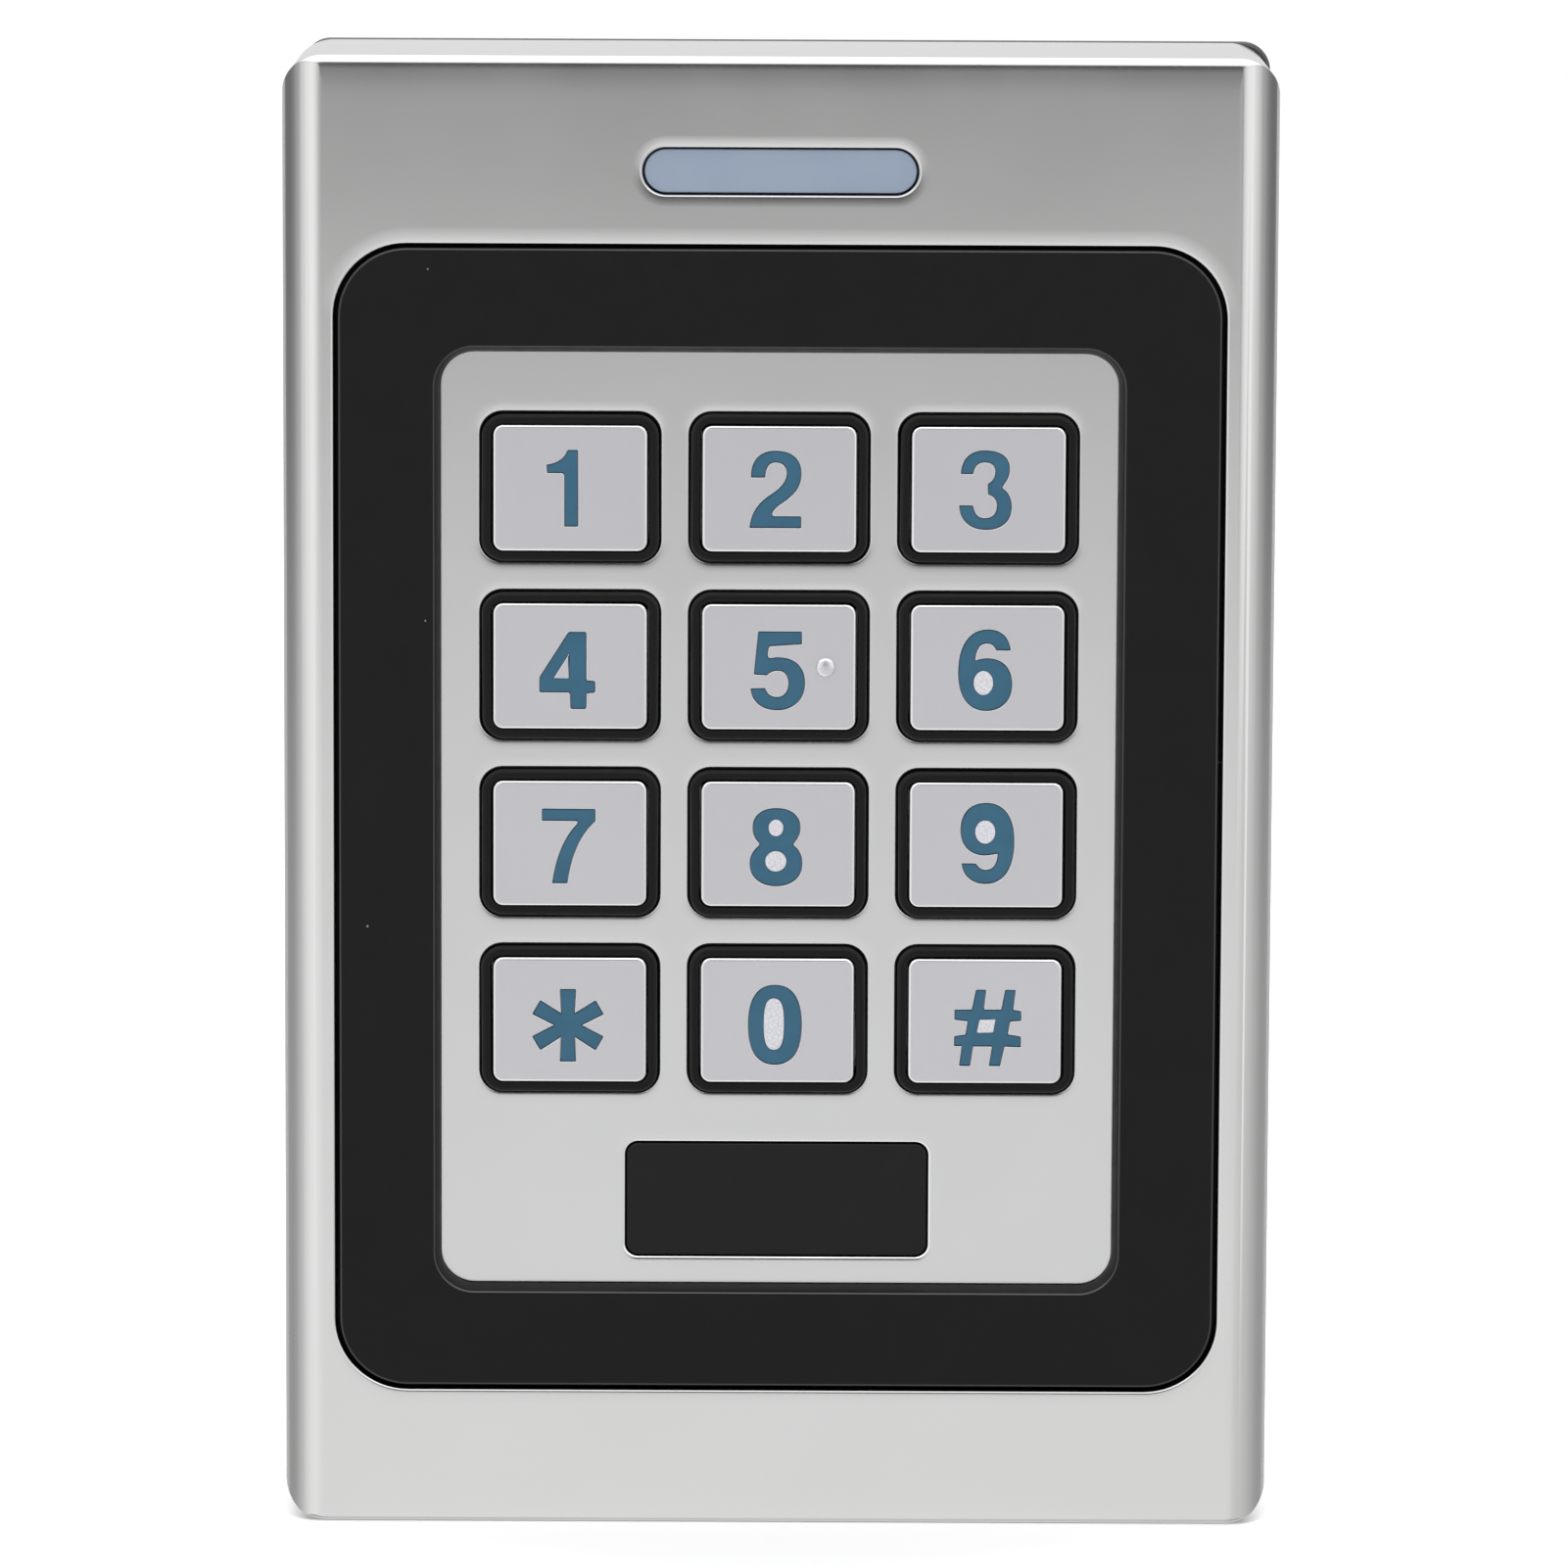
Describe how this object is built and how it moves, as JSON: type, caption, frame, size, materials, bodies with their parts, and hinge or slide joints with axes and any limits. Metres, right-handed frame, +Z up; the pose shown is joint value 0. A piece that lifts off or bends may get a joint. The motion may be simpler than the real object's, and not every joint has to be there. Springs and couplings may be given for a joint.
{
  "type": "keypad access reader",
  "caption": "Surface-mounted keypad access reader: a satin metal shell with a black bezel, silver keys with teal figures, a status light and a sensor window.",
  "frame": {"origin": "on the wall, at the middle of the wall plate's back face", "axes": "+X right as seen from the front, +Y into the wall, +Z up; the keys face -Y"},
  "size_m": [0.0804, 0.022, 0.12],
  "materials": {
    "satin_nickel": "satin nickel plated zinc casting, soft sheen",
    "plate_metal": "satin metal key plate, polished hole rims",
    "black_plastic": "black ABS, fine moulded texture",
    "black_silicone": "black silicone rubber, soft matte",
    "silver_key": "silver painted plastic with a bright bevelled edge",
    "teal_legend": "teal translucent plastic",
    "smoked_window": "infrared-clear black plastic, satin",
    "frosted_lens": "frosted bluish light guide",
    "white_component": "white moulded component body",
    "dark_component": "black moulded component body",
    "relay_case": "blue moulded relay case",
    "dome_film": "clear polyester film with metal domes",
    "circuit_board": "green solder mask on glass fibre",
    "copper_wire": "enamelled copper winding",
    "foam_rubber": "closed-cell foam strip",
    "screw_steel": "zinc plated steel"
  },
  "bodies": {
    "housing": {"front_shell": "satin_nickel", "bezel_frame": "black_plastic", "keypad_plate": "plate_metal", "keymat": "black_silicone", "sensor_window": "smoked_window", "led_lens": "frosted_lens", "status_led_left": "white_component", "status_led_right": "white_component", "dome_sheet": "dome_film", "main_pcb": "circuit_board", "antenna_coil": "copper_wire", "proximity_sensor": "dark_component", "buzzer": "dark_component", "relay": "relay_case", "mcu_chip": "dark_component", "wiring_connector": "white_component", "tamper_sensor": "frosted_lens", "rear_cover": "black_plastic", "rear_gasket": "foam_rubber", "cable_grommet": "black_silicone", "wall_plate": "black_plastic", "cover_screw_top_left": "screw_steel", "pcb_screw_top_left": "screw_steel", "cover_screw_top_right": "screw_steel", "pcb_screw_top_right": "screw_steel", "cover_screw_bottom_left": "screw_steel", "pcb_screw_bottom_left": "screw_steel", "cover_screw_bottom_right": "screw_steel", "pcb_screw_bottom_right": "screw_steel", "lock_screw": "screw_steel"},
    "key_1": {"key_cap_1": "silver_key", "key_legend_1": "teal_legend"},
    "key_2": {"key_cap_2": "silver_key", "key_legend_2": "teal_legend"},
    "key_3": {"key_cap_3": "silver_key", "key_legend_3": "teal_legend"},
    "key_4": {"key_cap_4": "silver_key", "key_legend_4": "teal_legend"},
    "key_5": {"key_cap_5": "silver_key", "key_legend_5": "teal_legend"},
    "key_6": {"key_cap_6": "silver_key", "key_legend_6": "teal_legend"},
    "key_7": {"key_cap_7": "silver_key", "key_legend_7": "teal_legend"},
    "key_8": {"key_cap_8": "silver_key", "key_legend_8": "teal_legend"},
    "key_9": {"key_cap_9": "silver_key", "key_legend_9": "teal_legend"},
    "key_star": {"key_cap_star": "silver_key", "key_legend_star": "teal_legend"},
    "key_0": {"key_cap_0": "silver_key", "key_legend_0": "teal_legend"},
    "key_hash": {"key_cap_hash": "silver_key", "key_legend_hash": "teal_legend"}
  },
  "joints": [
    {"name": "press_1", "type": "slide", "parent": "housing", "child": "key_1", "axis": [0, 1, 0], "range_m": [0, 0.0008], "stiffness_N_per_m": 800, "springref_m": -0.0005},
    {"name": "press_2", "type": "slide", "parent": "housing", "child": "key_2", "axis": [0, 1, 0], "range_m": [0, 0.0008], "stiffness_N_per_m": 800, "springref_m": -0.0005},
    {"name": "press_3", "type": "slide", "parent": "housing", "child": "key_3", "axis": [0, 1, 0], "range_m": [0, 0.0008], "stiffness_N_per_m": 800, "springref_m": -0.0005},
    {"name": "press_4", "type": "slide", "parent": "housing", "child": "key_4", "axis": [0, 1, 0], "range_m": [0, 0.0008], "stiffness_N_per_m": 800, "springref_m": -0.0005},
    {"name": "press_5", "type": "slide", "parent": "housing", "child": "key_5", "axis": [0, 1, 0], "range_m": [0, 0.0008], "stiffness_N_per_m": 800, "springref_m": -0.0005},
    {"name": "press_6", "type": "slide", "parent": "housing", "child": "key_6", "axis": [0, 1, 0], "range_m": [0, 0.0008], "stiffness_N_per_m": 800, "springref_m": -0.0005},
    {"name": "press_7", "type": "slide", "parent": "housing", "child": "key_7", "axis": [0, 1, 0], "range_m": [0, 0.0008], "stiffness_N_per_m": 800, "springref_m": -0.0005},
    {"name": "press_8", "type": "slide", "parent": "housing", "child": "key_8", "axis": [0, 1, 0], "range_m": [0, 0.0008], "stiffness_N_per_m": 800, "springref_m": -0.0005},
    {"name": "press_9", "type": "slide", "parent": "housing", "child": "key_9", "axis": [0, 1, 0], "range_m": [0, 0.0008], "stiffness_N_per_m": 800, "springref_m": -0.0005},
    {"name": "press_star", "type": "slide", "parent": "housing", "child": "key_star", "axis": [0, 1, 0], "range_m": [0, 0.0008], "stiffness_N_per_m": 800, "springref_m": -0.0005},
    {"name": "press_0", "type": "slide", "parent": "housing", "child": "key_0", "axis": [0, 1, 0], "range_m": [0, 0.0008], "stiffness_N_per_m": 800, "springref_m": -0.0005},
    {"name": "press_hash", "type": "slide", "parent": "housing", "child": "key_hash", "axis": [0, 1, 0], "range_m": [0, 0.0008], "stiffness_N_per_m": 800, "springref_m": -0.0005}
  ]
}
